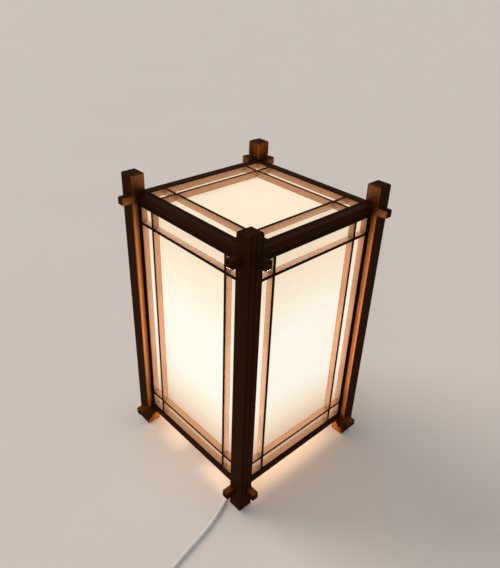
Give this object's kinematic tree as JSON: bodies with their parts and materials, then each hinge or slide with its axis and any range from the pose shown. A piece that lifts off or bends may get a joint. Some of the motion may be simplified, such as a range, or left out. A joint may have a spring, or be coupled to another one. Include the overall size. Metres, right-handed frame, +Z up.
{
  "type": "floor lamp",
  "caption": "Square standing lantern lamp: four wooden posts, lapped crossbars and paper-backed lattice panels round a bulb on a cross board, with a switched cord.",
  "frame": {"origin": "centre of the lantern's footprint, on the floor under its four feet", "axes": "+Z up; -Y is the front face, +X the right side; all four sides are alike"},
  "size_m": [0.2751, 0.5951, 0.403],
  "materials": {
    "stained_wood": "dark stained softwood, satin, fine grain along the length",
    "lattice_wood": "dark stained thin stock, satin",
    "dowel_wood": "plain dowel",
    "shade_paper": "warm white translucent paper, matt",
    "holder_plastic": "black moulded plastic",
    "holder_brass": "bright sheet",
    "screw_steel": "zinc plated",
    "cap_metal": "thin pressed sheet",
    "tip_metal": "soldered tip",
    "bulb_glass": "frosted, warm white",
    "cord_grey": "light grey flexible sheath",
    "switch_plastic": "light grey moulding",
    "rocker_plastic": "mid grey moulding",
    "tie_strap": "black strap"
  },
  "bodies": {
    "root": {"post_back_right": "stained_wood", "post_back_left": "stained_wood", "post_front_left": "stained_wood", "post_front_right": "stained_wood", "bottom_crossbar_front": "stained_wood", "bottom_crossbar_right": "stained_wood", "bottom_crossbar_back": "stained_wood", "bottom_crossbar_left": "stained_wood", "top_crossbar_front": "stained_wood", "top_crossbar_right": "stained_wood", "top_crossbar_back": "stained_wood", "top_crossbar_left": "stained_wood", "front_panel_stiles": "lattice_wood", "front_panel_rails": "lattice_wood", "front_lattice_uprights": "lattice_wood", "front_lattice_crosses": "lattice_wood", "front_paper": "shade_paper", "right_panel_stiles": "lattice_wood", "right_panel_rails": "lattice_wood", "right_lattice_uprights": "lattice_wood", "right_lattice_crosses": "lattice_wood", "right_paper": "shade_paper", "back_panel_stiles": "lattice_wood", "back_panel_rails": "lattice_wood", "back_lattice_uprights": "lattice_wood", "back_lattice_crosses": "lattice_wood", "back_paper": "shade_paper", "left_panel_stiles": "lattice_wood", "left_panel_rails": "lattice_wood", "left_lattice_uprights": "lattice_wood", "left_lattice_crosses": "lattice_wood", "left_paper": "shade_paper", "top_panel_stiles": "lattice_wood", "top_panel_rails": "lattice_wood", "top_lattice_uprights": "lattice_wood", "top_lattice_crosses": "lattice_wood", "top_paper": "shade_paper", "cross_board": "stained_wood", "board_dowels": "dowel_wood", "lampholder_body": "holder_plastic", "lampholder_screws": "screw_steel", "lampholder_shell": "holder_brass", "lampholder_contact": "holder_brass", "cord_sleeve": "cord_grey", "cord_lead": "cord_grey", "cord_link": "cord_grey", "cord_coil": "cord_grey", "cord_tail": "cord_grey", "switch_base": "switch_plastic", "switch_cover": "switch_plastic", "switch_screws": "screw_steel", "cord_tie": "tie_strap", "plug_body": "cord_grey", "plug_blades": "holder_brass"},
    "bulb": {"bulb_envelope": "bulb_glass", "bulb_cap": "cap_metal", "bulb_tip": "tip_metal"},
    "rocker": {"switch_rocker": "rocker_plastic"}
  },
  "joints": [
    {"name": "bulb_turn", "type": "hinge", "parent": "root", "child": "bulb", "pos_m": [0, 0, 0.075], "axis": [0, 0, 1], "range_deg": [0, 900]},
    {"name": "rocker_tilt", "type": "hinge", "parent": "root", "child": "rocker", "pos_m": [0.13216, -0.2886, 0.011], "axis": [0.9868, 0.1621, 0], "range_deg": [0, 18]}
  ]
}
